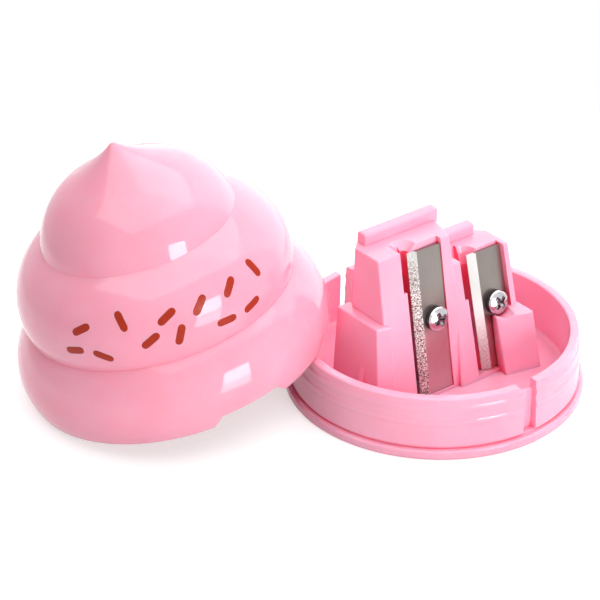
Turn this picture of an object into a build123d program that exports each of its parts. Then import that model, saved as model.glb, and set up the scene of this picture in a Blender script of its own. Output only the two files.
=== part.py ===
# Twin pencil sharpener: a round shavings tray that carries a block with two pencil holes, and a
# swirl shaped cover that pulls off. The cover stands beside the tray with its rim leaning on the wall.
# Millimetres. The origin is the middle of the tray's underside, +Z is up, the blades face -Y.
from build123d import *
from dataclasses import dataclass
from math import acos, asin, atan, cos, radians, sin, tan
import os

# Tray
FLANGE_R = 29.0
FLANGE_T = 1.9
FLANGE_ROUND = 0.5
WALL_FOOT_R = 28.1
WALL_RIM_R = 27.55
WALL_T = 1.75
RIM_Z = 12.4
RIM_ROUND = 0.35
FLOOR_T = 1.75
FLOOR_ROUND = 0.8
GROOVE_DEPTH = 0.35
GROOVE_HEIGHT = 0.55
BEAD_HEIGHTS = (7.2, 10.1)
BEAD_ROUND = 1.5
BEAD_PROUD = 0.18
SLOT_WIDTH = 3.0
BACK_SLOT_ANGLE = 91.9
FRONT_SLOT_ANGLE = -92.0
FRONT_SLOT_DEPTH = 1.0
FRONT_NOTCH_DEPTH = 2.0
FRONT_NOTCH_LEAD = 1.0

# Cover, in its own upright frame. Its seat takes the tray's wall, and the tiers grow with the seat: each
# is a ring with its greatest radius, then the height of that radius above the rim and the radius of its
# round side, both as shares of the seat's depth. The creases fall where the rings meet.
COVER_CLEARANCE = 0.3
SEAT_DEPTH = RIM_Z - FLANGE_T + COVER_CLEARANCE
TIER_SHARES = ((30.45, 0.435, 1.13), (26.6, 1.648, 1.204), (19.2, 2.435, 1.417))
TIERS = tuple((bulge, middle * SEAT_DEPTH, side * SEAT_DEPTH) for bulge, middle, side in TIER_SHARES)
TIP_RISE = 4.9
TIP_HEIGHT = TIERS[-1][1] + TIERS[-1][2] + TIP_RISE
TIP_ROUND = 0.9
TIP_START_ANGLE = 62.0
TIP_FLANK_ANGLE = 42.0
SHELL = 1.3
LIP_ROUND = 0.3
NOTCH_WIDTH = 15.6
NOTCH_DEPTH = 2.2
NOTCH_SLOPE = 2.0
NOTCH_ANGLE = 110.0

# How the cover stands: its rim reaches over the tray's wall and rests there.
COVER_BEARING = 143.2
COVER_REACH = 7.95
COVER_TWIST = 8.8
REST_GAP = 0.26

# Block
BACK_FOOT_Y = 7.4
BACK_DRAFT = 1.3
EDGE_ROUND = 0.35
BAR_HEIGHT = 2.3
BAR_DEPTH = 2.5
BAR_ROUND = 0.7
COLLAR_T = 1.2
COLLAR_CLEARANCE = 0.15
TIP_HOLE_R = 1.0
FUNNEL_R = 2.5
THROAT_STEP_DROP = 8.2
THROAT_STEP = 0.8
CUT_REACH = 6.0
GUSSET_Y = -1.4
GUSSET_T = 1.0
GUSSET_Z = 11.0
GUSSET_FOOT_X = -21.6
GUSSET_TOP_X = -18.9

# Blades and screws
BLADE_T = 0.95
BEVEL_WIDTH = 1.7
EDGE_LAND = 0.12
BLADE_GAP = 0.1
BLADE_FRONT_GAP = 0.25
HEAD_R = 2.4
HEAD_RIM = 1.1
HEAD_HEIGHT = 1.8
HEAD_CLEARANCE = 0.3
SHANK_R = 1.0
SHANK_LENGTH = 3.5
SCREW_CLEARANCE = 0.05


@dataclass
class Unit:
    """One sharpener: its pencil axis, pencil hole, cone, shoulder, blade, throat and screw."""

    axis_x: float
    hole_r: float
    lead_in: float
    apex_z: float
    shoulder_z: float
    blade_top_z: float
    blade_length: float
    blade_width: float
    throat: float
    screw_rise: float
    proud: float
    foot_x: tuple
    shoulder_x: tuple
    outer_corner: int
    corner_cut: float

    @property
    def lean(self):
        """Half angle of the cone, which is also the blade's lean."""
        return atan(self.hole_r / (self.apex_z - self.lead_in))

    @property
    def seat(self):
        """Blade's seat: it touches the cone, with local Y running up the slope from the cone's apex."""
        outward = (0, -cos(self.lean), sin(self.lean))
        return Plane(origin=(self.axis_x, 0, self.apex_z), x_dir=(1, 0, 0), z_dir=outward)

    @property
    def blade_foot(self):
        """Local Y of the blade's lower end on the seat."""
        return self.slope(self.blade_top_z) - self.blade_length

    @property
    def screw_at(self):
        """Screw's place on the seat, in the middle of the blade's flat."""
        middle = self.blade_foot + self.blade_length / 2
        return ((BEVEL_WIDTH + self.blade_width) / 2, middle + self.screw_rise)

    def slope(self, z):
        """Local Y of the seat at height z."""
        return (z - self.apex_z) / cos(self.lean)

    def cone_z(self, radius):
        """Height at which the cone has a radius."""
        return self.apex_z - radius / tan(self.lean)

    def front_y(self, z):
        """Y of the body's front, which stands proud of the blade's face, at height z."""
        return -(self.apex_z - z) * tan(self.lean) - (BLADE_T + self.proud) / cos(self.lean)

    def plan(self, corners_x, z):
        """Corners of the body's outline at height z."""
        corners_y = (self.front_y(z), self.front_y(z), back_y(z), back_y(z))
        return tuple(zip(corners_x, corners_y))


# Body corners across the block, at the foot and at the shoulder: front left, front right, back right,
# back left. The outer corner is the one of the two back corners that is cut off.
LARGE = Unit(
    axis_x=-8.7,
    hole_r=5.75,
    lead_in=4.36,
    apex_z=36.0,
    shoulder_z=32.0,
    blade_top_z=30.75,
    blade_length=29.0,
    blade_width=7.4,
    throat=2.45,
    screw_rise=0.3,
    proud=0.3,
    foot_x=(-16.9, 2.9, 3.6, -16.9),
    shoulder_x=(-16.4, 0.9, 3.6, -16.1),
    outer_corner=0,
    corner_cut=1.8,
)
SMALL = Unit(
    axis_x=7.0,
    hole_r=4.1,
    lead_in=10.15,
    apex_z=26.0,
    shoulder_z=25.4,
    blade_top_z=24.8,
    blade_length=23.6,
    blade_width=7.75,
    throat=3.35,
    screw_rise=1.0,
    proud=1.15,
    foot_x=(0.0, 16.5, 16.6, 0.0),
    shoulder_x=(1.9, 16.1, 16.3, 1.9),
    outer_corner=-1,
    corner_cut=2.9,
)
UNITS = {"large": LARGE, "small": SMALL}


def back_y(z):
    """Y of the block's drafted back at height z."""
    return BACK_FOOT_Y - (z - FLOOR_T) * tan(radians(BACK_DRAFT))


# Buttresses in plan at the foot and at the top: front left corner first, then anticlockwise.
LEFT_BUTTRESS_Z = 19.5
LEFT_BUTTRESS = (
    ((-19.6, -6.6), (-15.4, -7.6), (-15.4, back_y(FLOOR_T)), (-19.6, back_y(FLOOR_T))),
    ((-18.6, -4.6), (-15.6, -5.4), (-15.6, back_y(LEFT_BUTTRESS_Z)), (-18.6, back_y(LEFT_BUTTRESS_Z))),
)
RIGHT_BUTTRESS_Z = 13.3
RIGHT_BUTTRESS = (
    ((9.6, -10.5), (17.3, -12.1), (17.3, -4.0), (11.0, -4.0)),
    ((9.1, -7.3), (16.8, -9.7), (16.8, -4.0), (10.8, -4.0)),
)


def drafted_post(foot, top, top_z, outer_corner=0, corner_cut=0):
    """Post from the tray's floor to a top outline, with rounded uprights and a rounded top edge."""
    with BuildPart() as post:
        for corners, z in ((foot, FLOOR_T), (top, top_z)):
            with BuildSketch(Plane.XY.offset(z)) as outline:
                with BuildLine():
                    Polyline(*corners, close=True)
                make_face()
                if corner_cut:
                    back_corners = outline.vertices().group_by(Axis.Y)[-1].sort_by(Axis.X)
                    chamfer(back_corners[outer_corner], corner_cut)
        loft()
        uprights = post.edges().filter_by(GeomType.BSPLINE)
        fillet(uprights + post.edges().group_by(Axis.Z)[-1], EDGE_ROUND)
    return post.part


def top_bar(unit, left, right):
    """Bar along the back of a unit's shoulder, rounded along its top and around its ends."""
    foot_z = unit.shoulder_z - BAR_ROUND
    top_z = unit.shoulder_z + BAR_HEIGHT
    front = back_y(unit.shoulder_z) - BAR_DEPTH
    with BuildPart() as bar:
        with BuildSketch(Plane.YZ.offset(left)) as profile:
            with BuildLine():
                Polyline(
                    (front, foot_z),
                    (back_y(foot_z), foot_z),
                    (back_y(top_z), top_z),
                    (front, top_z),
                    close=True,
                )
            make_face()
            fillet(profile.vertices().group_by(Axis.Y)[-1], BAR_ROUND)
        extrude(amount=right - left)
        ends = bar.faces().filter_by(Axis.X)
        fillet([edge for end in ends for edge in end.edges()], EDGE_ROUND)
    return bar.part


def ring_reach(tier, height):
    """Radius of a tier's round side at a height."""
    bulge, middle, side = tier
    return bulge - side + (side**2 - (height - middle) ** 2) ** 0.5


def swirl_section(inset):
    """Half section of the tiers and the tip, drawn in by an inset: X is the radius, Y the height."""
    low_middle = TIERS[0][0] - TIERS[0][2]
    bulge, top_middle_z, side = TIERS[-1]
    top_middle = bulge - side
    start = radians(TIP_START_ANGLE)
    flank = radians(TIP_FLANK_ANGLE)
    tip_z = TIP_HEIGHT - inset
    leave = (top_middle + (side - inset) * cos(start), top_middle_z + (side - inset) * sin(start))
    nose = (TIP_ROUND * sin(flank), tip_z - TIP_ROUND * (1 - cos(flank)))
    with BuildSketch() as section:
        with BuildLine():
            Polyline((0, 0), (low_middle, 0), (low_middle, TIERS[0][1]), leave)
            Spline(leave, nose, tangents=((-sin(start), cos(start)), (-cos(flank), sin(flank))))
            CenterArc((0, tip_z - TIP_ROUND), TIP_ROUND, 90 - TIP_FLANK_ANGLE, TIP_FLANK_ANGLE)
            Line((0, tip_z), (0, 0))
        make_face()
        for bulge, middle, side in TIERS:
            with Locations((bulge - side, middle)):
                Circle(side - inset)
        with Locations((FLANGE_R, TIP_HEIGHT / 2)):
            Rectangle(2 * FLANGE_R, TIP_HEIGHT, mode=Mode.INTERSECT)
    return section.sketch


# The standing cover: its raised rim crosses the tray's wall, which sets its distance and its tilt.
cover_rim_r = ring_reach(TIERS[0], 0)
cover_distance = WALL_RIM_R + cover_rim_r - COVER_REACH
crossing_share = (cover_rim_r**2 + cover_distance**2 - WALL_RIM_R**2) / (2 * cover_rim_r * cover_distance)
crossing = acos(crossing_share) + radians(COVER_TWIST)
cover_tilt = asin((RIM_Z + REST_GAP) / (cover_rim_r * (1 + cos(crossing))))
cover_bearing = radians(COVER_BEARING)
tilt_bearing = radians(COVER_BEARING + COVER_TWIST)
cover_plane = Plane(
    origin=(
        cover_distance * cos(cover_bearing),
        cover_distance * sin(cover_bearing),
        cover_rim_r * sin(cover_tilt),
    ),
    x_dir=(
        cos(cover_tilt) * cos(tilt_bearing),
        cos(cover_tilt) * sin(tilt_bearing),
        -sin(cover_tilt),
    ),
    z_dir=(
        sin(cover_tilt) * cos(tilt_bearing),
        sin(cover_tilt) * sin(tilt_bearing),
        cos(cover_tilt),
    ),
)
cover_section_plane = Plane(origin=cover_plane.origin, x_dir=cover_plane.x_dir, z_dir=-cover_plane.y_dir)
cover_axis = Axis(cover_plane.origin, cover_plane.z_dir)

os.makedirs("parts", exist_ok=True)

# Tray: flange, drafted wall with two grip beads, floor with the two collar holes, a slot through the
# back of the wall, and a shallow one in front that ends in a notch with a slanted lead.
with BuildPart() as base_tray:
    with BuildSketch(Plane.XZ):
        with BuildLine():
            Polyline(
                (0, 0),
                (FLANGE_R, 0),
                (FLANGE_R, FLANGE_T),
                (WALL_FOOT_R - GROOVE_DEPTH, FLANGE_T),
                (WALL_FOOT_R - GROOVE_DEPTH, FLANGE_T + GROOVE_HEIGHT),
                (WALL_FOOT_R, FLANGE_T + GROOVE_HEIGHT),
                (WALL_RIM_R, RIM_Z),
                (WALL_RIM_R - WALL_T, RIM_Z),
                (WALL_FOOT_R - GROOVE_DEPTH - WALL_T, FLOOR_T),
                (0, FLOOR_T),
                close=True,
            )
        make_face()
    revolve(axis=Axis.Z)
    fillet(base_tray.edges().group_by(Axis.Z)[-1], RIM_ROUND)
    fillet(base_tray.edges().filter_by(GeomType.CIRCLE).group_by(SortBy.RADIUS)[-1], FLANGE_ROUND)
    fillet(base_tray.edges().filter_by_position(Axis.Z, FLOOR_T, FLOOR_T), FLOOR_ROUND)
    with BuildSketch(Plane.XZ):
        for height in BEAD_HEIGHTS:
            rise = (height - FLANGE_T) / (RIM_Z - FLANGE_T)
            face_r = WALL_FOOT_R + (WALL_RIM_R - WALL_FOOT_R) * rise
            with Locations((face_r + BEAD_PROUD - BEAD_ROUND, height)):
                Circle(BEAD_ROUND)
        with Locations((WALL_FOOT_R, RIM_Z / 2)):
            Rectangle(WALL_T, RIM_Z, mode=Mode.INTERSECT)
    revolve(axis=Axis.Z)
    for unit in UNITS.values():
        with Locations((unit.axis_x, 0, FLOOR_T)):
            Hole(unit.hole_r + COLLAR_T + COLLAR_CLEARANCE)
    slot_foot = Plane.XY.offset(FLANGE_T + GROOVE_HEIGHT / 2)
    slot_depths = {BACK_SLOT_ANGLE: 2 * WALL_T, FRONT_SLOT_ANGLE: FRONT_SLOT_DEPTH}
    for angle, depth in slot_depths.items():
        with BuildSketch(slot_foot.rotated((0, 0, angle))):
            with Locations((WALL_RIM_R - depth, 0)):
                Rectangle(FLANGE_R, SLOT_WIDTH, align=(Align.MIN, Align.CENTER))
        extrude(amount=RIM_Z, mode=Mode.SUBTRACT)
    with BuildSketch(Plane.YZ.rotated((0, 0, FRONT_SLOT_ANGLE))):
        with BuildLine():
            Polyline(
                (-SLOT_WIDTH / 2, RIM_Z - FRONT_NOTCH_DEPTH),
                (SLOT_WIDTH / 2, RIM_Z - FRONT_NOTCH_DEPTH),
                (SLOT_WIDTH / 2, RIM_Z),
                (-SLOT_WIDTH / 2 - FRONT_NOTCH_LEAD, RIM_Z),
                close=True,
            )
        make_face()
    extrude(amount=FLANGE_R, mode=Mode.SUBTRACT)
base_tray.part.label = "base_tray"
export_step(base_tray.part, "parts/base_tray.step")

# Cover: the swirl's shell, a straight seat inside the rim for the tray's wall, and the finger notch.
outside = swirl_section(0)
inside = swirl_section(SHELL)
notch_turn = radians(NOTCH_ANGLE)
notch_outward = cover_plane.x_dir * cos(notch_turn) + cover_plane.y_dir * sin(notch_turn)
notch_along = cover_plane.z_dir.cross(notch_outward)
with BuildPart() as cover:
    with BuildSketch(cover_section_plane):
        add(outside)
    revolve(axis=cover_axis)
    with BuildSketch(cover_section_plane):
        add(inside)
        with Locations((0, SEAT_DEPTH)):
            Rectangle(2 * FLANGE_R, TIP_HEIGHT, align=Align.MIN, mode=Mode.INTERSECT)
        with BuildLine():
            Polyline(
                (0, 0),
                (WALL_FOOT_R + COVER_CLEARANCE, 0),
                (WALL_RIM_R + COVER_CLEARANCE, SEAT_DEPTH),
                (0, SEAT_DEPTH),
                close=True,
            )
        make_face()
    revolve(axis=cover_axis, mode=Mode.SUBTRACT)
    fillet(cover.edges().filter_by(GeomType.CIRCLE).group_by(SortBy.RADIUS)[-1], LIP_ROUND)
    with BuildSketch(Plane(origin=cover_plane.origin, x_dir=notch_along, z_dir=notch_outward)):
        with BuildLine():
            Polyline(
                (-NOTCH_WIDTH / 2 - NOTCH_SLOPE, -NOTCH_DEPTH),
                (NOTCH_WIDTH / 2 + NOTCH_SLOPE, -NOTCH_DEPTH),
                (NOTCH_WIDTH / 2 - NOTCH_SLOPE, NOTCH_DEPTH),
                (-NOTCH_WIDTH / 2 + NOTCH_SLOPE, NOTCH_DEPTH),
                close=True,
            )
        make_face()
    extrude(amount=2 * FLANGE_R, mode=Mode.SUBTRACT)
cover.part.label = "cover"
export_step(cover.part, "parts/cover.step")

# Block: two leaning bodies side by side, with buttresses, a gusset, top bars and collars.
# The pencil holes with their cones, which open into a funnel at the top, the blade seats, the throats
# and the screw holes are cut into it.
bodies = []
for unit in UNITS.values():
    foot = unit.plan(unit.foot_x, FLOOR_T)
    shoulder = unit.plan(unit.shoulder_x, unit.shoulder_z)
    bodies.append(drafted_post(foot, shoulder, unit.shoulder_z, unit.outer_corner, unit.corner_cut))
left_buttress = drafted_post(*LEFT_BUTTRESS, LEFT_BUTTRESS_Z)
right_buttress = drafted_post(*RIGHT_BUTTRESS, RIGHT_BUTTRESS_Z)
large_bar = top_bar(LARGE, LARGE.shoulder_x[3] + LARGE.corner_cut, LARGE.shoulder_x[2])
small_bar = top_bar(SMALL, SMALL.shoulder_x[0], SMALL.shoulder_x[2] - SMALL.corner_cut)
with BuildPart() as sharpener_block:
    add(bodies)
    for unit in UNITS.values():
        seat_height = unit.slope(unit.shoulder_z) - unit.blade_foot + CUT_REACH
        with BuildSketch(unit.seat):
            with Locations((0, unit.blade_foot - BLADE_GAP)):
                Rectangle(unit.blade_width + BLADE_GAP, seat_height, align=Align.MIN)
        extrude(amount=CUT_REACH, mode=Mode.SUBTRACT)
    add((left_buttress, right_buttress))
    with BuildSketch(Plane.XZ.offset(-GUSSET_Y)):
        with BuildLine():
            Polyline(
                (GUSSET_FOOT_X, FLOOR_T),
                (GUSSET_TOP_X, FLOOR_T),
                (GUSSET_TOP_X, GUSSET_Z),
                close=True,
            )
        make_face()
    extrude(amount=GUSSET_T / 2, both=True)
    add((large_bar, small_bar))
    for unit in UNITS.values():
        with Locations((unit.axis_x, 0, 0)):
            Cylinder(unit.hole_r + COLLAR_T, FLOOR_T, align=(Align.CENTER, Align.CENTER, Align.MIN))
    for unit in UNITS.values():
        with BuildSketch(Plane.XZ.shift_origin((unit.axis_x, 0, 0))):
            with BuildLine():
                Polyline(
                    (0, 0),
                    (unit.hole_r, 0),
                    (unit.hole_r, unit.lead_in),
                    (TIP_HOLE_R, unit.cone_z(TIP_HOLE_R)),
                    (FUNNEL_R, unit.shoulder_z),
                    (0, unit.shoulder_z),
                    close=True,
                )
            make_face()
        revolve(axis=Axis((unit.axis_x, 0, 0), (0, 0, 1)), mode=Mode.SUBTRACT)
        rise = unit.slope(unit.shoulder_z) + CUT_REACH
        step = unit.slope(unit.shoulder_z - THROAT_STEP_DROP)
        for foot, width in ((unit.blade_foot, unit.throat - THROAT_STEP), (step, unit.throat)):
            with BuildSketch(unit.seat.offset(-unit.throat)):
                with Locations((0, foot)):
                    Rectangle(width, rise - foot, align=(Align.MAX, Align.MIN))
            extrude(amount=CUT_REACH, mode=Mode.SUBTRACT)
        with BuildSketch(unit.seat):
            with Locations((0, unit.blade_foot - BLADE_GAP)):
                Rectangle(unit.blade_width + BLADE_GAP, unit.blade_length + BLADE_GAP, align=Align.MIN)
        extrude(amount=BLADE_T + BLADE_FRONT_GAP, mode=Mode.SUBTRACT)
        with BuildSketch(unit.seat):
            with Locations(unit.screw_at):
                Circle(SHANK_R + SCREW_CLEARANCE)
        extrude(amount=-SHANK_LENGTH, mode=Mode.SUBTRACT)
        with BuildSketch(unit.seat):
            with Locations(unit.screw_at):
                Circle(HEAD_R + HEAD_CLEARANCE)
        extrude(amount=CUT_REACH, mode=Mode.SUBTRACT)
sharpener_block.part.label = "sharpener_block"
export_step(sharpener_block.part, "parts/sharpener_block.step")

# Blades: ground along the left edge, held flat on the seat by one screw each.
for name, unit in UNITS.items():
    seat = unit.seat
    with BuildPart() as blade:
        foot = seat.from_local_coords((0, unit.blade_foot, 0))
        with BuildSketch(Plane(origin=foot, x_dir=seat.x_dir, z_dir=seat.y_dir)):
            with BuildLine():
                Polyline(
                    (0, 0),
                    (0, -EDGE_LAND),
                    (BEVEL_WIDTH, -BLADE_T),
                    (unit.blade_width, -BLADE_T),
                    (unit.blade_width, 0),
                    close=True,
                )
            make_face()
        extrude(amount=unit.blade_length)
        with BuildSketch(seat):
            with Locations(unit.screw_at):
                Circle(SHANK_R + SCREW_CLEARANCE)
        extrude(amount=BLADE_T, mode=Mode.SUBTRACT)
    blade.part.label = f"{name}_blade"
    export_step(blade.part, f"parts/{name}_blade.step")

    head_seat = Plane(
        origin=seat.from_local_coords((*unit.screw_at, BLADE_T)), x_dir=seat.x_dir, z_dir=-seat.y_dir
    )
    with BuildPart() as screw:
        with BuildSketch(head_seat):
            with BuildLine():
                TangentArc((0, HEAD_HEIGHT), (HEAD_R, HEAD_RIM), tangent=(1, 0))
                Polyline(
                    (0, HEAD_HEIGHT),
                    (0, -BLADE_T - SHANK_LENGTH),
                    (SHANK_R, -BLADE_T - SHANK_LENGTH),
                    (SHANK_R, 0),
                    (HEAD_R, 0),
                    (HEAD_R, HEAD_RIM),
                )
            make_face()
        revolve(axis=Axis(head_seat.origin, seat.z_dir))
    screw.part.label = f"{name}_blade_screw"
    export_step(screw.part, f"parts/{name}_blade_screw.step")
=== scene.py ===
# %% [markdown]
# A twin pencil sharpener with a swirl cover.
# The CAD model gives every solid its true shape and place, so it is loaded first as a fixed frame.
# Everything after that adds looks to it: finishes, screw heads, a printed pattern, light and a camera.
# Sizes below are in metres, in the same frame as the CAD: the tray's underside is at height zero.

# %% Load the frame
from math import atan, cos, degrees, pi, radians, sin

import bpy
from mathutils import Matrix, Vector


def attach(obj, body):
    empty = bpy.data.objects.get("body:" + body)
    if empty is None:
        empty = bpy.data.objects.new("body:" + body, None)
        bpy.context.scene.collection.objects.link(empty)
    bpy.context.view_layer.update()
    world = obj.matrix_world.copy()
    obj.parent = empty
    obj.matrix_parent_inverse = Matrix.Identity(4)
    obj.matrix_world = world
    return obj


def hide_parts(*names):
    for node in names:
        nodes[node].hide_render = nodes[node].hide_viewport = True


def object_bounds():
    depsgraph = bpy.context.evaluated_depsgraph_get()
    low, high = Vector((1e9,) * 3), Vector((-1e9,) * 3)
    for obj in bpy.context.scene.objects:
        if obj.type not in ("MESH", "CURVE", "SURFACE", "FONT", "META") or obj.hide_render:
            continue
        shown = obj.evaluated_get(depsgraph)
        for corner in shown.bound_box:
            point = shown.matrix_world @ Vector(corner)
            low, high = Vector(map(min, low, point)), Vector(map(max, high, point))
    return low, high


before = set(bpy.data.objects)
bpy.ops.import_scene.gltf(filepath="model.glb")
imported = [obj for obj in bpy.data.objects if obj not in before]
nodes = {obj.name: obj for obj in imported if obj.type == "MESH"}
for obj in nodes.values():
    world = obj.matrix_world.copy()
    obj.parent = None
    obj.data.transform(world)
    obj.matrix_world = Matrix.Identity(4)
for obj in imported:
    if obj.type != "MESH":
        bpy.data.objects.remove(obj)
cad_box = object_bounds()
MM = 0.001
print("loaded", sorted(nodes))

# %% [markdown]
# Finishes and repeated shapes are both made with nodes. They could be added one by one, but that takes
# many lines, so a few small classes do it. A Value is one output of a node. Plain arithmetic on it adds
# Math nodes to the same tree, so a formula in this file reads like a formula.

# %% Arithmetic on node sockets
class Value:
    """One output of a node. Arithmetic on it adds Math nodes to the same tree."""

    def __init__(self, tree, socket):
        self.tree = tree
        self.socket = socket

    def maths(self, operation, *terms):
        return self.tree.node("ShaderNodeMath", {"operation": operation}, dict(enumerate(terms)))

    def __add__(self, other):
        return self.maths("ADD", self, other)

    def __sub__(self, other):
        return self.maths("SUBTRACT", self, other)

    def __rsub__(self, other):
        return self.maths("SUBTRACT", other, self)

    def __mul__(self, other):
        return self.maths("MULTIPLY", self, other)

    def __truediv__(self, other):
        return self.maths("DIVIDE", self, other)

    def __pow__(self, other):
        return self.maths("POWER", self, other)

    __radd__ = __add__
    __rmul__ = __mul__

    def rise(self, start, end):
        """A soft step: 0 before start, 1 after end."""
        sizes = {"Value": self, "From Min": start, "From Max": end}
        return self.tree.node("ShaderNodeMapRange", {"interpolation_type": "SMOOTHSTEP"}, sizes)

    def output(self, name):
        """Another output of the same node."""
        return Value(self.tree, self.socket.node.outputs[name])


# %% [markdown]
# A Tree adds any node in one call: its type, its settings, and then the values or links of its sockets.
# A list given to a socket links every item of it, which sockets that join or cut shapes accept.

# %% A tree of nodes
class Tree:
    """A node tree with one method that adds any node."""

    def __init__(self, tree):
        self.tree = tree

    def node(self, kind, settings=None, sockets=None, out=0):
        made = self.tree.nodes.new(kind)
        for name, setting in (settings or {}).items():
            setattr(made, name, setting)
        for name, given in (sockets or {}).items():
            for item in given if isinstance(given, list) else [given]:
                if isinstance(item, Value):
                    self.tree.links.new(item.socket, made.inputs[name])
                else:
                    made.inputs[name].default_value = item
        return Value(self, made.outputs[out])

    def mix(self, share, first, second):
        """A colour between two colours."""
        return self.node("ShaderNodeMix", {"data_type": "RGBA"}, {0: share, 6: first, 7: second}, 2)


# %% [markdown]
# A finish is a material with one surface shader. Its patterns are noise in the piece's own coordinates:
# that needs no images, and a pattern stays where it is on a piece when the piece moves.
# Colours are written as a screen shows them, because that is how they are judged.

# %% Finishes
class Finish(Tree):
    """A material with one surface shader. What is the same all over is set on the shader itself."""

    def __init__(self, name, same_all_over):
        self.material = bpy.data.materials.new(name)
        self.material.use_nodes = True
        super().__init__(self.material.node_tree)
        self.shader = self.tree.nodes["Principled BSDF"]
        for socket, value in same_all_over.items():
            self.shader.inputs[socket].default_value = value
        self.place = self.node("ShaderNodeTexCoord", out="Object")

    def noise(self, size, detail=3.0, place=None):
        """Soft random values from 0 to 1 with features of about one size in metres."""
        sockets = {"Vector": place or self.place, "Scale": 1 / size, "Detail": detail}
        return self.node("ShaderNodeTexNoise", sockets=sockets)

    def feed(self, socket, value):
        self.tree.links.new(value.socket, self.shader.inputs[socket])

    def relief(self, height, depth, strength):
        """Fine relief of a depth in metres, from a height between 0 and 1."""
        self.feed("Normal", self.node("ShaderNodeBump", sockets={
            "Height": height, "Distance": depth, "Strength": strength}))


def colour(red, green, blue):
    """A colour as a screen shows it, from 0 to 255, turned into the linear values a shader wants."""
    return tuple((part / 255) ** 2.2 for part in (red, green, blue)) + (1.0,)


def put_on(finish, *names):
    """Gives CAD nodes a finish."""
    for name in names:
        nodes[name].data.materials.clear()
        nodes[name].data.materials.append(finish.material)
    print(finish.material.name, "on", names)


# %% [markdown]
# The tray, the block and the cover are moulded in one candy pink. The plastic is a little translucent:
# light that enters it comes back redder, so edges and slots glow while open faces stay pale.
# A plain coloured surface would look painted, so Subsurface Scattering sends light through the wall: red
# for a millimetre or two, green and blue far less.
# In narrow gaps the light also bounces from wall to wall and deepens. That is painted shade here: an
# Ambient Occlusion node finds how closed in a spot is and paints the colour a deeper pink.
# Moulded faces are never quite even, so slow clouds shift the tint and a fine grain stirs the gloss.

# %% Pink plastic
CLOUD_SIZE = 14 * MM
GRAIN_DEPTH = 0.0015 * MM


def pink_plastic(name, pinks, glow_depth, gloss, grain, reach, closed_in, in_the_open, alone, painted_shade_pink):
    """Plastic between two pinks, with a deeper pink painted as shade where the surface is closed in."""
    plastic = Finish(name, {
        "IOR": 1.49,
        "Subsurface Weight": 0.7,
        "Subsurface Radius": (1.0, 0.2, 0.26),
        "Subsurface Scale": glow_depth,
    })
    clouds = plastic.noise(CLOUD_SIZE, 2.0).rise(0.3, 0.7)
    skin = plastic.noise(grain, 4.0)
    free = plastic.node("ShaderNodeAmbientOcclusion", {"samples": 8, "only_local": alone}, {
        "Distance": reach}, "AO")
    open_air = free.rise(closed_in, in_the_open)
    # The deeper pink in closed-in places is painted shade.
    plastic.feed("Base Color", plastic.mix(open_air, painted_shade_pink, plastic.mix(clouds, *pinks)))
    plastic.feed("Roughness", gloss + (skin - 0.5) * 0.04 + clouds * 0.02)
    plastic.relief(skin, GRAIN_DEPTH, 0.4)
    return plastic


# %% [markdown]
# The cover is polished, and the tray and the block are satin. Each has narrow places of its own, which
# get
# painted shade: the creases between the cover's tiers, the tray's corners and slots, and the throats
# beside the blades.
# One function makes all three finishes, so that they stay one family, and each gets its own numbers.

# %% Pink for the cover, the tray and the block
COVER_PINKS = colour(254, 158, 180), colour(254, 166, 188)
TRAY_PINKS = colour(254, 169, 194), colour(254, 177, 202)
# Each of these sets the painted shade in one piece's narrow places. reach is how far a spot looks around
# itself. With alone, other pieces do not close it in.
CREASES = {"reach": 7 * MM, "closed_in": 0.35, "in_the_open": 0.9, "alone": True,
           "painted_shade_pink": colour(248, 92, 122)}
CORNERS = {"reach": 2.2 * MM, "closed_in": 0.15, "in_the_open": 0.55, "alone": False,
           "painted_shade_pink": colour(252, 84, 118)}
THROATS = {"reach": 7 * MM, "closed_in": 0.25, "in_the_open": 0.6, "alone": False,
           "painted_shade_pink": colour(254, 90, 122)}
COVER_GLOW, TRAY_GLOW = 2 * MM, 1.2 * MM
WAVY, FINE = 3.0 * MM, 0.3 * MM

put_on(pink_plastic("cover_gloss_pink", COVER_PINKS, COVER_GLOW, 0.025, WAVY, **CREASES), "cover")
put_on(pink_plastic("tray_satin_pink", TRAY_PINKS, TRAY_GLOW, 0.1, FINE, **CORNERS), "base_tray")
put_on(pink_plastic("block_satin_pink", TRAY_PINKS, TRAY_GLOW, 0.2, FINE, **THROATS), "sharpener_block")

# %% [markdown]
# Each blade lies against the cone of a pencil's point, so it leans by half the cone's angle, and its line
# runs through the cone's apex. The marks on a blade and the place of its screw could be typed in as
# points. Here they are worked out from the CAD's own numbers, in millimetres, so they agree with the
# blade's seat.

# %% Where the blades lie
class Seat:
    """Where a blade lies: it leans with the pencil cone, from the cone's apex downwards."""

    def __init__(self, axis_x, apex_z, hole_r, lead_in, screw_x, screw_y):
        self.apex = Vector((axis_x, 0, apex_z)) * MM
        self.lean = atan(hole_r / (apex_z - lead_in))
        across = Vector((1, 0, 0))
        along = Vector((0, sin(self.lean), cos(self.lean)))
        self.outward = Vector((0, -cos(self.lean), sin(self.lean)))
        self.screw = self.apex + across * screw_x * MM + along * screw_y * MM


LARGE_SEAT = Seat(axis_x=-8.7, apex_z=36.0, hole_r=5.75, lead_in=4.36, screw_x=4.55, screw_y=-19.54)
SMALL_SEAT = Seat(axis_x=7.0, apex_z=26.0, hole_r=4.1, lead_in=10.15, screw_x=4.725, screw_y=-12.04)
SEATS = LARGE_SEAT, SMALL_SEAT
print("blades lean by", [round(degrees(seat.lean), 1) for seat in SEATS], "degrees")
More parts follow.
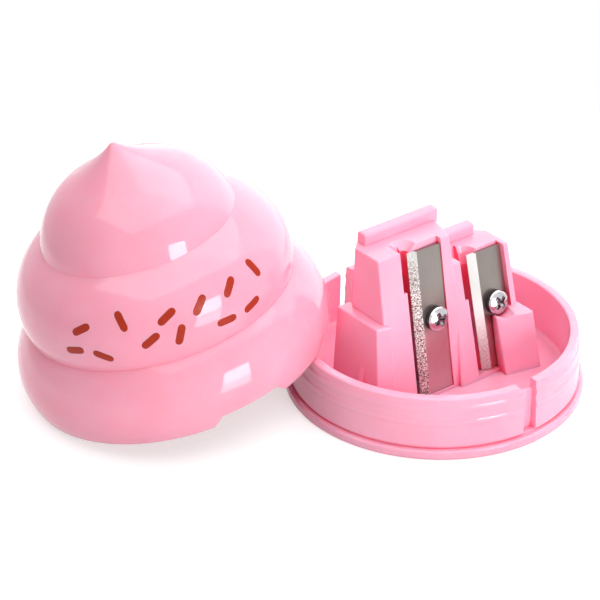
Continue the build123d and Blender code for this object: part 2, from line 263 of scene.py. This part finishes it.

# %% [markdown]
# Each blade is a strip of rolled steel. Its flat is brushed along its length, and its left edge is ground
# to a bevel: the large one with a coarse wheel that leaves it speckled, the small one fine and bright.
# The marks have to follow the leaning blade, so a Mapping node turns the pattern into the blade's own
# directions: X across it from the cutting edge, Y up along it.
# Two tones are painted in. The flat is brighter below the screw: a painted reflection of the pink tray.
# The bevel is darker near its upper end: painted shade, as it would turn white in the light of the room.

# %% Blade steel
BEVEL, BEVEL_BLUR, RAGGED = 1.7 * MM, 0.04 * MM, 0.9 * MM
PIT_SIZE, STREAK_WIDTH, CLOUDING = 0.26 * MM, 0.25 * MM, 5 * MM
STREAK_SCALE = (1, 0.06, 1)
MARK_DEPTH = 0.03 * MM
COARSE_FADE, PAINTED_SHADE_FADE, PAINTED_REFLECTION_FADE = 12 * MM, 7 * MM, 3 * MM
# Each pair is the tone above and below the screw, the lower with the painted reflection, or low and high
# on the bevel, the high one with the painted shade.
DULL_AND_PAINTED_REFLECTION = colour(130, 123, 119), colour(186, 172, 170)
CLEAR_AND_PAINTED_REFLECTION = colour(150, 143, 138), colour(206, 192, 190)
GROUND_AND_PAINTED_SHADE = colour(230, 237, 233), colour(195, 202, 199)
PIT = colour(128, 94, 93)


def blade_steel(name, seat, ground, smooth_above, painted_reflection_below, painted_shade_above):
    """Steel for one blade. The last three are places along it, measured up from the cone's apex."""
    steel = Finish(name, {"Metallic": 1.0, "Anisotropic": 0.4})
    own = steel.node("ShaderNodeMapping", {"vector_type": "TEXTURE"}, {
        "Vector": steel.place, "Location": seat.apex, "Rotation": (radians(90) - seat.lean, 0, 0)})
    across = steel.node("ShaderNodeSeparateXYZ", sockets={0: own})
    along = across.output("Y")
    # The bevel: a ragged line where the grinding is coarse, with dark pits.
    coarse = ground * (1 - along.rise(smooth_above - COARSE_FADE, smooth_above))
    wander = (steel.noise(RAGGED, 2.0, own) - 0.5) * coarse * RAGGED
    bevel = 1 - (across + wander).rise(BEVEL - BEVEL_BLUR, BEVEL + BEVEL_BLUR)
    pits = steel.noise(PIT_SIZE, 3.0, own).rise(0.4, 0.62)
    speckle = pits * (bevel * coarse)
    # The bevel's upper end gets the painted shade.
    bevel_with_painted_shade = steel.mix(along.rise(painted_shade_above - PAINTED_SHADE_FADE, painted_shade_above), *GROUND_AND_PAINTED_SHADE)
    # The flat: streaks along the blade, faint clouds and a foot brightened by the painted reflection.
    stretched = steel.node("ShaderNodeMapping", sockets={"Vector": own, "Scale": STREAK_SCALE})
    streaks = steel.noise(STREAK_WIDTH, 3.0, stretched)
    clouds = steel.noise(CLOUDING, 2.0)
    painted_reflection = 1 - along.rise(painted_reflection_below - PAINTED_REFLECTION_FADE, painted_reflection_below)
    flat = steel.mix(streaks * 0.5 + clouds * 0.5, steel.mix(painted_reflection, *DULL_AND_PAINTED_REFLECTION), steel.mix(painted_reflection, *CLEAR_AND_PAINTED_REFLECTION))
    steel.feed("Base Color", steel.mix(bevel, flat, steel.mix(speckle, bevel_with_painted_shade, PIT)))
    steel.feed("Roughness", 0.26 + streaks * 0.12 + bevel * 0.32)
    steel.relief(streaks * 0.25 * (1 - bevel) + speckle, MARK_DEPTH, 0.6)
    return steel


put_on(blade_steel("large_blade_steel", LARGE_SEAT, ground=1.0, smooth_above=-1 * MM,
                   painted_reflection_below=-20 * MM, painted_shade_above=-10 * MM), "large_blade")
put_on(blade_steel("small_blade_steel", SMALL_SEAT, ground=0.3, smooth_above=-10 * MM,
                   painted_reflection_below=-14 * MM, painted_shade_above=-7 * MM), "small_blade")

# %% [markdown]
# The screws, and the sprinkles of the print, are each one form that is set out several times. That suits
# Geometry Nodes: the form is built once and placed on points. A Shape is such a tree of nodes, with a
# named input for every size.

# %% A tree for shapes
class Shape(Tree):
    """A Geometry Nodes tree with named inputs for its sizes."""

    def __init__(self, name):
        super().__init__(bpy.data.node_groups.new(name, "GeometryNodeTree"))
        self.add_input("Geometry", "NodeSocketGeometry")
        self.tree.interface.new_socket("Geometry", in_out="OUTPUT", socket_type="NodeSocketGeometry")
        self.group_input = self.tree.nodes.new("NodeGroupInput")

    def add_input(self, name, kind="NodeSocketFloat"):
        self.tree.interface.new_socket(name, in_out="INPUT", socket_type=kind)

    def given(self, name):
        """One of the tree's inputs."""
        return Value(self, self.group_input.outputs[name])

    def sizes(self, *names):
        """Adds number inputs and returns them as values."""
        for name in names:
            self.add_input(name)
        return [self.given(name) for name in names]

    def here(self):
        """The position's three parts."""
        position = self.node("GeometryNodeInputPosition")
        x = self.node("ShaderNodeSeparateXYZ", sockets={0: position})
        return x, x.output("Y"), x.output("Z")

    def move(self, geometry, x, y, z):
        """Moves points to a new position."""
        position = self.node("ShaderNodeCombineXYZ", sockets={"X": x, "Y": y, "Z": z})
        return self.node("GeometryNodeSetPosition", sockets={"Geometry": geometry, "Position": position})

    def store(self, geometry, name, value):
        """Writes a number on every point under a name."""
        return self.node("GeometryNodeStoreNamedAttribute", {"data_type": "FLOAT", "domain": "POINT"}, {
            "Geometry": geometry, "Name": name, "Value": value})

    def stored(self, name, kind="FLOAT"):
        """Reads what is written on every point under a name."""
        return self.node("GeometryNodeInputNamedAttribute", {"data_type": kind}, {"Name": name})

    def aimed(self, direction, spin):
        """A rotation that spins a form about its Z axis and then points Z in a direction."""
        aim = self.node("FunctionNodeAlignRotationToVector", {"axis": "Z"}, {"Vector": direction})
        turn = self.node("FunctionNodeAxisAngleToRotation", sockets={"Axis": (0, 0, 1), "Angle": spin})
        return self.node("FunctionNodeRotateRotation", {"rotation_space": "LOCAL"}, {
            "Rotation": aim, "Rotate By": turn})

    def finish(self, geometry, material):
        """Ends the tree: instances become real and take their material."""
        real = self.node("GeometryNodeRealizeInstances", sockets={"Geometry": geometry})
        coated = self.node("GeometryNodeSetMaterial", sockets={"Geometry": real, "Material": material})
        end = self.tree.nodes.new("NodeGroupOutput")
        self.tree.links.new(coated.socket, end.inputs[0])


# %% [markdown]
# A tree could stay on its object as a modifier. Here its result is kept as a plain mesh instead, so that
# nothing is left to work out later. The new piece is told which body it rides on.

# %% From a tree to a piece
def made_real(name, start, shape, sizes, body):
    """Runs a tree on a starting mesh and keeps the result as a plain mesh that rides on a body."""
    carrier = bpy.data.objects.new(name + "_start", start)
    bpy.context.scene.collection.objects.link(carrier)
    modifier = carrier.modifiers.new("shape", "NODES")
    modifier.node_group = shape.tree
    for socket in shape.tree.interface.items_tree:
        if socket.name in sizes:
            modifier[socket.identifier] = sizes[socket.name]
    view = bpy.context.evaluated_depsgraph_get()
    mesh = bpy.data.meshes.new_from_object(carrier.evaluated_get(view))
    bpy.data.objects.remove(carrier)
    piece = bpy.data.objects.new(name, mesh)
    bpy.context.scene.collection.objects.link(piece)
    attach(piece, body)
    print(name, len(mesh.vertices), "points", len(mesh.polygons), "faces")
    return piece


# %% [markdown]
# The screws are chromed, with a bright crown and a darker side. The dark side is a painted reflection
# of the shade between head and blade. A colour that changes with height would not follow the tilted
# heads, so the tree below writes a number called crown on the points of a head, and the finish reads it.

# %% Screw finish
chrome = Finish("screw_chrome", {"Metallic": 1.0})
wear = chrome.noise(0.5 * MM, 3.0)
bright_chrome = chrome.mix(wear, colour(186, 182, 186), colour(220, 217, 220))
crown = chrome.node("ShaderNodeAttribute", {"attribute_name": "crown"}, out="Fac")
# The side of the head is painted dark, as a reflection of the shade beside it.
chrome.feed("Base Color", chrome.mix(crown, colour(96, 88, 92), bright_chrome))
chrome.feed("Roughness", 0.1 + wear * 0.12)
chrome.relief(wear, 0.01 * MM, 0.4)
print(chrome.material.name, "ready")

# %% [markdown]
# One pan-head screw with a cross recess holds each blade. The CAD screw is a plain turned solid, so a
# detailed one takes its place. Its head starts as a cylinder with rings of points on its top. Pushing
# them up onto a sphere makes the dome and leaves the outline round.

# %% Screw head
SOFT_RIM = 0.15 * MM
screw = Shape("cross_screw")
head_r, rim_h, head_h, arm_reach, arm_width, recess_depth, shank_r, shank_l = screw.sizes(
    "Head Radius", "Rim Height", "Head Height", "Arm Reach", "Arm Width", "Recess Depth",
    "Shank Radius", "Shank Length")
dome_h = head_h - rim_h
dome_r = (head_r * head_r + dome_h * dome_h) / (dome_h * 2)
head = screw.node("GeometryNodeMeshCylinder", {"fill_type": "TRIANGLE_FAN"}, {
    "Vertices": 64, "Side Segments": 6, "Fill Segments": 14, "Radius": head_r, "Depth": rim_h})
x, y, z = screw.here()
out = (x * x + y * y) ** 0.5
# The cylinder runs from -0.5 to 0.5 of its height, so this is 1 on its top face and 0 on its side.
top = (z / rim_h).rise(0.45, 0.49)
dome = head_h - dome_r + (dome_r * dome_r - out * out) ** 0.5
soft_rim = (out / head_r).rise(0.9, 1.0) * SOFT_RIM
head = screw.store(head, "crown", top)
lifted = z + rim_h / 2
head = screw.move(head, x, y, lifted + top * (dome - lifted - soft_rim))
print("screw head of", len(screw.tree.nodes), "nodes")

# %% [markdown]
# The cross takes a screwdriver, so it narrows as it goes down. A dark cross could be painted on, but a
# real recess catches light on its walls. Two tapered bars are cut out of the head in one boolean.

# %% Cross recess
# The recess walls take nearly the crown's bright chrome and a little of the side's painted dark.
RECESS_CROWN = 0.9
TAPER = 0.5
arms = []
for turned in (0, 1):
    size = screw.node("ShaderNodeCombineXYZ", sockets={
        "XY"[turned]: arm_reach * 2, "YX"[turned]: arm_width, "Z": recess_depth * 2})
    arm = screw.node("GeometryNodeMeshCube", sockets={"Size": size})
    x, y, z = screw.here()
    taper = 1 + z / recess_depth * TAPER
    arm = screw.store(arm, "crown", RECESS_CROWN)
    arms.append(screw.move(arm, x * taper, y * taper, z + head_h))
head = screw.node("GeometryNodeMeshBoolean", {"operation": "DIFFERENCE", "solver": "EXACT"}, {
    "Mesh 1": head, "Mesh 2": arms})
print("recess of", len(arms), "arms")

# %% [markdown]
# Under the head a plain shank goes through the blade into the block. Edges that bend gently are shaded
# smooth and the others stay sharp, so the dome looks round and the recess crisp.

# %% Shank and shading
SHANK_OVERLAP = 0.2 * MM
SHARPEST_SMOOTH_EDGE = radians(32)
shank = screw.node("GeometryNodeMeshCylinder", sockets={
    "Vertices": 24, "Side Segments": 1, "Fill Segments": 1, "Radius": shank_r, "Depth": shank_l})
x, y, z = screw.here()
shank = screw.move(shank, x, y, z - shank_l / 2 + SHANK_OVERLAP)
whole = screw.node("GeometryNodeJoinGeometry", sockets={"Geometry": [head, shank]})
bend = screw.node("GeometryNodeInputMeshEdgeAngle", out="Unsigned Angle")
gentle = screw.node("FunctionNodeCompare", {"operation": "LESS_THAN"}, {
    0: bend, 1: SHARPEST_SMOOTH_EDGE})
whole = screw.node("GeometryNodeSetShadeSmooth", {"domain": "EDGE"}, {
    "Geometry": whole, "Shade Smooth": gentle})
print("whole screw of", len(screw.tree.nodes), "nodes")

# %% [markdown]
# Both screws are the same, so the finished one is set on two points, one on each blade's face. Each point
# carries the direction its blade faces and how far its screw happens to be turned.

# %% Screws on the blades
BLADE_T = 0.95 * MM
points = screw.node("GeometryNodeMeshToPoints", sockets={"Mesh": screw.given("Geometry")})
set_out = screw.node("GeometryNodeInstanceOnPoints", sockets={
    "Points": points, "Instance": whole,
    "Rotation": screw.aimed(screw.stored("facing", "FLOAT_VECTOR"), screw.stored("spin"))})
screw.finish(set_out, chrome.material)

screw_points = bpy.data.meshes.new("screw_points")
screw_points.from_pydata([seat.screw + seat.outward * BLADE_T for seat in SEATS], [], [])
screw_points.attributes.new("facing", "FLOAT_VECTOR", "POINT").data.foreach_set(
    "vector", [*LARGE_SEAT.outward, *SMALL_SEAT.outward])
screw_points.attributes.new("spin", "FLOAT", "POINT").data.foreach_set(
    "value", [radians(20), radians(38)])
screws = made_real("blade_screws", screw_points, screw, {
    "Head Radius": 2.4 * MM, "Rim Height": 1.3 * MM, "Head Height": 1.95 * MM,
    "Arm Reach": 1.7 * MM, "Arm Width": 0.95 * MM, "Recess Depth": 0.65 * MM,
    "Shank Radius": 1.0 * MM, "Shank Length": 4.4 * MM}, "base")
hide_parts("large_blade_screw", "small_blade_screw")

# %% [markdown]
# The front of the cover's middle tier carries a print in rust-brown ink: a loose scatter of sprinkles.
# The print could be a pattern in the cover's finish. Thin pieces of their own have cleaner edges, and
# their ink can be duller than the polished plastic.

# %% Ink
ink = Finish("rust_ink", {"Specular IOR Level": 0.3})
tone = ink.noise(1.2 * MM, 3.0)
ink.feed("Base Color", ink.mix(tone, colour(150, 34, 4), colour(172, 46, 8)))
ink.feed("Roughness", 0.28 + tone * 0.12)
ink.relief(tone, 0.01 * MM, 0.5)
print(ink.material.name, "ready")

# %% [markdown]
# The tier is a ring with a rounded side, so two angles place a sprinkle: one around the ring and one up
# its side. The sprinkles stand in staggered rows. Chance moves each of them a little and turns it any
# way. Rows keep them apart, which chance alone would not. Every chance has a seed, so the print never
# changes.

# %% Where the sprinkles go
pattern = Shape("sprinkle_print")
columns, rows, spread, middle, low, high, ring, side, height, length, width, proud = pattern.sizes(
    "Columns", "Rows", "Spread", "Middle", "Low", "High", "Ring", "Side", "Height", "Length", "Width",
    "Proud")


def chance(least, most, seed):
    """A random number for each sprinkle."""
    return pattern.node("FunctionNodeRandomValue", {"data_type": "FLOAT"}, {
        2: least, 3: most, "Seed": seed}, 1)


index = pattern.node("GeometryNodeInputIndex")
column = index.maths("MODULO", index, columns)
row = index.maths("FLOOR", index / columns)
around = middle + ((column + row * 0.5 + chance(0.05, 0.45, 4)) / columns - 0.5) * spread
upward = low + (row + chance(0.3, 0.7, 9)) / rows * (high - low)
east = around.maths("COSINE", around)
north = around.maths("SINE", around)
level = upward.maths("COSINE", upward)
steep = upward.maths("SINE", upward)
flat_reach = ring + side * level
scatter = pattern.node("GeometryNodePoints", sockets={"Count": columns * rows})
scatter = pattern.move(scatter, flat_reach * east, flat_reach * north, height + side * steep)
off_the_tier = pattern.node("ShaderNodeCombineXYZ", sockets={
    "X": level * east, "Y": level * north, "Z": steep})
lie = pattern.aimed(off_the_tier, chance(0.0, radians(180), 21))
print("scatter of", len(pattern.tree.nodes), "nodes")

# %% [markdown]
# Each sprinkle is a thin capsule of ink: a fine grid of points, rounded at both ends and a little
# narrower on top. The height of every point is written down before the sprinkle is turned, because the
# last step needs it.

# %% One sprinkle
capsule = pattern.node("GeometryNodeMeshCube", sockets={
    "Size": (2.0, 2.0, 2.0), "Vertices X": 17, "Vertices Y": 9, "Vertices Z": 2})
x, y, z = pattern.here()
half_width = width / 2
narrowed = 1 - (z + 1) * 0.04
y_squared = y * y
bow = (1 - y_squared.maths("MINIMUM", y_squared, 1.0)) ** 0.5
half_length = length / 2 - half_width + half_width * bow
capsule = pattern.move(capsule, x * half_length * narrowed, y * half_width * narrowed, z * proud)
capsule = pattern.store(capsule, "lift", pattern.here()[2])
print("scatter and sprinkle of", len(pattern.tree.nodes), "nodes")

# %% [markdown]
# Flat capsules would float off the round tier or sink into it. So every point is drawn onto the nearest
# spot of the cover and then lifted by its own height: the ink follows the surface and stands just proud
# of it. The scatter was laid out upright, so it is first turned and moved to where the cover lies.

# %% Print on the cover
COVER_AT = Vector((-39.32, 29.42, 7.09)) * MM
COVER_X = Vector((-0.8571, 0.4557, -0.2403))
COVER_Y = Vector((-0.4695, -0.8829, 0.0))
cover_turn = Matrix((COVER_X, COVER_Y, COVER_X.cross(COVER_Y))).transposed().to_euler()

inked = pattern.node("GeometryNodeInstanceOnPoints", sockets={
    "Points": scatter, "Instance": capsule, "Rotation": lie})
inked = pattern.node("GeometryNodeRealizeInstances", sockets={"Geometry": inked})
inked = pattern.node("GeometryNodeTransform", sockets={
    "Geometry": inked, "Translation": COVER_AT, "Rotation": cover_turn})
target = pattern.node("GeometryNodeObjectInfo", sockets={"Object": nodes["cover"]}, out="Geometry")
nearest = pattern.node("GeometryNodeProximity", {"target_element": "FACES"}, {"Geometry": target})
outward = pattern.node("GeometryNodeSampleNearestSurface", {"data_type": "FLOAT_VECTOR"}, {
    "Mesh": target, "Value": pattern.node("GeometryNodeInputNormal")})
raised = pattern.node("ShaderNodeVectorMath", {"operation": "SCALE"}, {
    0: outward, "Scale": pattern.stored("lift")})
landed = pattern.node("ShaderNodeVectorMath", {"operation": "ADD"}, {0: nearest, 1: raised})
inked = pattern.node("GeometryNodeSetPosition", sockets={"Geometry": inked, "Position": landed})
pattern.finish(inked, ink.material)

made_real("printed_sprinkles", bpy.data.meshes.new("print_start"), pattern, {
    "Columns": 6.0, "Rows": 2.0, "Spread": radians(96), "Middle": radians(92), "Low": radians(-6),
    "High": radians(36), "Ring": 13.6 * MM, "Side": 13.0 * MM, "Height": 17.8 * MM,
    "Length": 4.2 * MM, "Width": 1.5 * MM, "Proud": 0.03 * MM}, "cover")

# %% [markdown]
# The sharpener stands on a table in front of white. A table lit up to white would throw more light back
# at the object, so the table is light grey, and some emission that only the camera, reflections and glass
# see lifts it to white. It is still lit by the lamps, so the soft shadow under the object stays.
# The lift ends under the tray, so that the pencil holes look down on a dark table.

# %% Table finish
def seen_directly(tree):
    """1 for rays from the camera, from reflections and through glass, 0 for light on its way."""
    path = tree.node("ShaderNodeLightPath", out="Is Camera Ray")
    shine = path.maths("MAXIMUM", path.output("Is Glossy Ray"), path.output("Is Transmission Ray"))
    return path.maths("MAXIMUM", path, shine)


NO_LIFT = (0.0, 0.0, 0.0, 1.0)
LIFT = (0.56, 0.56, 0.56, 1.0)
LIFT_STARTS, LIFT_FULL = 24 * MM, 27 * MM
table_top = Finish("white_table", {"Roughness": 0.9, "Specular IOR Level": 0.1, "Emission Strength": 1.0})
paper = table_top.noise(40 * MM, 3.0)
table_top.feed("Base Color", table_top.mix(paper, colour(209, 209, 209), colour(213, 213, 213)))
table_x = table_top.node("ShaderNodeSeparateXYZ", sockets={0: table_top.place})
table_y = table_x.output("Y")
beside_tray = ((table_x * table_x + table_y * table_y) ** 0.5).rise(LIFT_STARTS, LIFT_FULL)
table_top.feed("Emission Color", table_top.mix(seen_directly(table_top) * beside_tray, NO_LIFT, LIFT))
print(table_top.material.name, "ready")

# %% [markdown]
# The table is a flat disc under the whole object. It could be a square, but a disc gives the shadow the
# same room in every direction. Its rim does not show, because the room beyond it looks white too.

# %% Table
TABLE_R = 0.14
TABLE_SIDES = 96
table_middle = (Vector(cad_box[0]) + Vector(cad_box[1])) / 2
turns = [radians(360 * corner / TABLE_SIDES) for corner in range(TABLE_SIDES)]
edge = [(table_middle.x + TABLE_R * cos(turn), table_middle.y + TABLE_R * sin(turn), 0) for turn in turns]
floor_mesh = bpy.data.meshes.new("floor")
floor_mesh.from_pydata(edge, [], [range(TABLE_SIDES)])
floor_mesh.materials.append(table_top.material)
floor = bpy.data.objects.new("floor", floor_mesh)
bpy.context.scene.collection.objects.link(floor)
print("table of radius", TABLE_R)

# %% [markdown]
# Beyond the table everything looks white. A room as bright as that would wash out the shadows, so what
# the camera and reflections see is white, while the light that the room gives is dimmer.

# %% White room
ROOM_LIGHT = (0.55, 0.55, 0.55, 1.0)
WHITE = (1.0, 1.0, 1.0, 1.0)
world = bpy.data.worlds.new("studio")
bpy.context.scene.world = world
world.use_nodes = True
sky = Tree(world.node_tree)
background = sky.tree.nodes["Background"]
sky.tree.links.new(sky.mix(seen_directly(sky), ROOM_LIGHT, WHITE).socket, background.inputs["Color"])
print("room light", ROOM_LIGHT[0])

# %% [markdown]
# The light is that of a small studio. One lamp could light the object, but then its reflection could not
# be placed apart from its light. So a soft box overhead only lights, and a lit ceiling above it is only
# mirrored: its edge shows as a soft line high on every tier.
# A very broad, dimmer panel behind on the right makes that side paler.

# %% Soft boxes
def soft_box(name, at, aim, width, height, brightness):
    """A rectangular lamp of an even brightness, facing a point."""
    data = bpy.data.lights.new(name, "AREA")
    data.shape = "RECTANGLE"
    data.size = width
    data.size_y = height
    data.energy = brightness * width * height * pi
    lamp = bpy.data.objects.new(name, data)
    lamp.location = at
    lamp.rotation_euler = (Vector(aim) - Vector(at)).to_track_quat("-Z", "Y").to_euler()
    bpy.context.scene.collection.objects.link(lamp)
    print(name, round(data.energy, 2), "W")
    return lamp


NEAR_MIDDLE = (-0.01, 0.01, 0.02)
UNDER_CEILING = (-0.06, 0.01, 0.02)
top_box = soft_box("top_soft_box", (0.087, -0.344, 0.78), NEAR_MIDDLE, width=1.0, height=0.5,
                   brightness=2.0)
top_box.visible_glossy = False
ceiling = soft_box("ceiling", (-0.06, 0.0, 0.8), UNDER_CEILING, width=1.3, height=0.95, brightness=1.75)
ceiling.visible_diffuse = False
soft_box("side_panel", (0.76, 0.58, 0.73), NEAR_MIDDLE, width=2.6, height=2.6, brightness=1.12)

# %% [markdown]
# A window in front shows as a slanted patch on each tier of the glossy cover and as two short glints on
# the beads of the tray. It has one cross bar and a dimmer low pane. One lamp would make an even patch, so
# each pane is a lamp, and the bar is the gap between them.

# %% Window
WINDOW_X, WINDOW_Y, WINDOW_FOOT = 0.014, -0.98, -0.18
WINDOW_WIDTH = 0.36
BAR = 0.02
PANES = ("low_pane", 0.24, 5.5), ("high_pane", 0.36, 9.8)
pane_foot = WINDOW_FOOT
for name, pane_height, brightness in PANES:
    at = Vector((WINDOW_X, WINDOW_Y, pane_foot + pane_height / 2))
    soft_box(name, at, at + Vector((0, 1, 0)), WINDOW_WIDTH, pane_height, brightness)
    pane_foot += pane_height + BAR

# %% [markdown]
# The camera looks down at the object from the front left with a long lens, which keeps upright edges
# nearly parallel. Its place was worked out from the round edges of the tray and the straight edges of
# the block.

# %% Camera
AZIMUTH = radians(-38.34)
ELEVATION = radians(29.99)
DISTANCE, ASIDE, RAISED = 431.97 * MM, -25.92 * MM, 14.99 * MM
SENSOR = 36.0
FOCAL_PIXELS, PICTURE_PIXELS = 2218.36, 600
back = Vector((sin(AZIMUTH) * cos(ELEVATION), -cos(AZIMUTH) * cos(ELEVATION), sin(ELEVATION)))
right = Vector((cos(AZIMUTH), sin(AZIMUTH), 0))
up = back.cross(right)
lens = bpy.data.cameras.new("camera")
lens.sensor_width = SENSOR
lens.lens = FOCAL_PIXELS / PICTURE_PIXELS * SENSOR
lens.clip_start = 0.01
camera = bpy.data.objects.new("camera", lens)
camera.matrix_world = Matrix((right, up, back)).transposed().to_4x4()
camera.location = back * DISTANCE + right * ASIDE + up * RAISED
bpy.context.scene.collection.objects.link(camera)
bpy.context.scene.camera = camera
bpy.context.scene.view_settings.view_transform = "Standard"
print("camera at", [round(part, 4) for part in camera.location])
